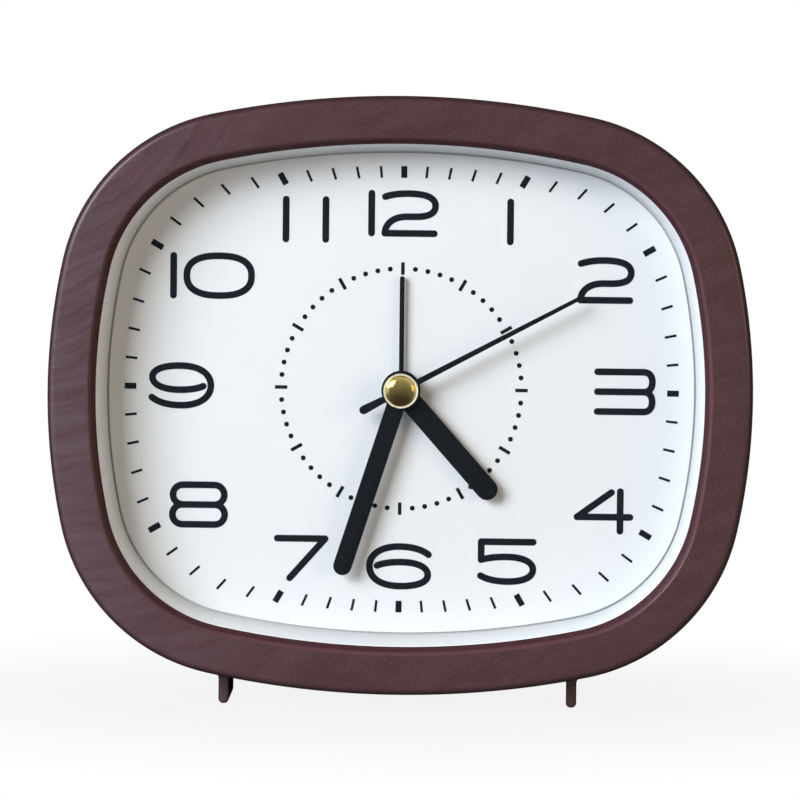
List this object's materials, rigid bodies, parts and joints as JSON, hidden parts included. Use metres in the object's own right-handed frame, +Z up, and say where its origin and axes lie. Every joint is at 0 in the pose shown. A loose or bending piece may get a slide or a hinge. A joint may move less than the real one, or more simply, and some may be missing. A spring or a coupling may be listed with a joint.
{
  "type": "analogue table alarm clock",
  "caption": "Table alarm clock with a rounded wood-look case, white numbered dial, hour, minute, second and alarm hands, rear setting knobs, alarm switch and battery door.",
  "frame": {"origin": "on the table, under the middle of the clock's width and of its depth from the front face to the backs of the knobs", "axes": "+Z up, the dial faces -Y, +X to the right of someone reading the dial"},
  "size_m": [0.14, 0.0418, 0.1216],
  "materials": {
    "case_brown": "brown moulded plastic with a fine printed wood grain, satin",
    "clear_pane": "clear flat pane",
    "ring_white": "silvery white plastic, satin",
    "dial_white": "white printed face, matte",
    "hand_black": "black paint on thin stamped metal",
    "cap_brass": "polished brass",
    "cover_brown": "dark brown moulded plastic, fine texture",
    "housing_white": "off-white moulded plastic",
    "wheel_plastic": "natural moulded plastic",
    "steel": "plain steel",
    "copper": "copper wire and strip",
    "cell": "plain wrapped steel can",
    "board_green": "green board",
    "chip_black": "black epoxy or magnet",
    "lead_red": "red insulation",
    "lead_black": "black insulation"
  },
  "bodies": {
    "case": {"front_case": "case_brown", "lens": "clear_pane", "dial_ring": "ring_white", "dial": "dial_white", "dial_plate": "housing_white", "back_cover": "cover_brown", "case_screw_1": "steel", "case_screw_2": "steel", "case_screw_3": "steel", "case_screw_4": "steel", "movement_base": "housing_white", "train_plate": "housing_white", "movement_cover": "housing_white", "movement_screw_1": "steel", "movement_screw_2": "steel", "movement_screw_3": "steel", "movement_screw_4": "steel", "battery": "cell", "contact_negative": "steel", "contact_positive": "steel", "circuit_board": "board_green", "chip": "chip_black", "quartz_crystal": "steel", "stator": "steel", "coil_core": "steel", "coil_bobbin": "housing_white", "coil": "copper", "alarm_contact": "copper", "buzzer": "cap_brass", "buzzer_lead_red": "lead_red", "buzzer_lead_black": "lead_black"},
    "seconds": {"seconds_wheel": "wheel_plastic", "second_hand": "hand_black", "hand_cap": "cap_brass"},
    "motor_rotor": {"rotor": "chip_black"},
    "intermediate": {"intermediate_wheel": "wheel_plastic"},
    "third": {"third_wheel": "wheel_plastic"},
    "minutes": {"centre_wheel": "wheel_plastic", "minute_hand": "hand_black"},
    "motion_work": {"minute_wheel": "wheel_plastic"},
    "hours": {"hour_wheel": "wheel_plastic", "hour_hand": "hand_black"},
    "time_setting": {"time_set_arbor": "wheel_plastic", "time_set_knob": "cover_brown"},
    "alarm_setting": {"alarm_set_arbor": "wheel_plastic", "alarm_set_knob": "cover_brown"},
    "alarm": {"alarm_wheel": "wheel_plastic", "alarm_hand": "hand_black"},
    "switch": {"alarm_switch": "ring_white"},
    "door": {"battery_door": "cover_brown"}
  },
  "joints": [
    {"name": "seconds_spin", "type": "hinge", "parent": "case", "child": "seconds", "pos_m": [0, 0, 0.0628], "axis": [0, 1, 0], "continuous": true},
    {"name": "rotor_spin", "type": "hinge", "parent": "case", "child": "motor_rotor", "pos_m": [0.01218, 0, 0.07234], "axis": [0, 1, 0], "continuous": true},
    {"name": "intermediate_spin", "type": "hinge", "parent": "case", "child": "intermediate", "pos_m": [0.00594, 0, 0.06874], "axis": [0, 1, 0], "continuous": true},
    {"name": "third_spin", "type": "hinge", "parent": "case", "child": "third", "pos_m": [-0.0054, 0, 0.07215], "axis": [0, 1, 0], "continuous": true},
    {"name": "minutes_spin", "type": "hinge", "parent": "case", "child": "minutes", "pos_m": [0, 0, 0.0628], "axis": [0, 1, 0], "continuous": true},
    {"name": "motion_work_spin", "type": "hinge", "parent": "case", "child": "motion_work", "pos_m": [-0.0084, 0, 0.0628], "axis": [0, 1, 0], "continuous": true},
    {"name": "hours_spin", "type": "hinge", "parent": "case", "child": "hours", "pos_m": [0, 0, 0.0628], "axis": [0, 1, 0], "continuous": true},
    {"name": "time_setting_spin", "type": "hinge", "parent": "case", "child": "time_setting", "pos_m": [-0.01552, 0, 0.05835], "axis": [0, 1, 0], "continuous": true},
    {"name": "alarm_setting_spin", "type": "hinge", "parent": "case", "child": "alarm_setting", "pos_m": [0.01072, 0, 0.05836], "axis": [0, 1, 0], "continuous": true},
    {"name": "alarm_spin", "type": "hinge", "parent": "case", "child": "alarm", "pos_m": [0, 0, 0.0628], "axis": [0, 1, 0], "continuous": true},
    {"name": "switch_slide", "type": "slide", "parent": "case", "child": "switch", "axis": [1, 0, 0], "range_m": [0, 0.004]},
    {"name": "door_slide", "type": "slide", "parent": "case", "child": "door", "axis": [0, 1, 0], "range_m": [0, 0.012]}
  ],
  "couplings": [
    {"joint": "rotor_spin", "follows": "seconds_spin", "ratio": 30},
    {"joint": "intermediate_spin", "follows": "seconds_spin", "ratio": -6},
    {"joint": "third_spin", "follows": "seconds_spin", "ratio": -0.13333},
    {"joint": "minutes_spin", "follows": "seconds_spin", "ratio": 0.016667},
    {"joint": "motion_work_spin", "follows": "seconds_spin", "ratio": -0.0055556},
    {"joint": "hours_spin", "follows": "seconds_spin", "ratio": 0.0013889},
    {"joint": "time_setting_spin", "follows": "seconds_spin", "ratio": 0.016667},
    {"joint": "alarm_spin", "follows": "alarm_setting_spin", "ratio": -0.8}
  ]
}
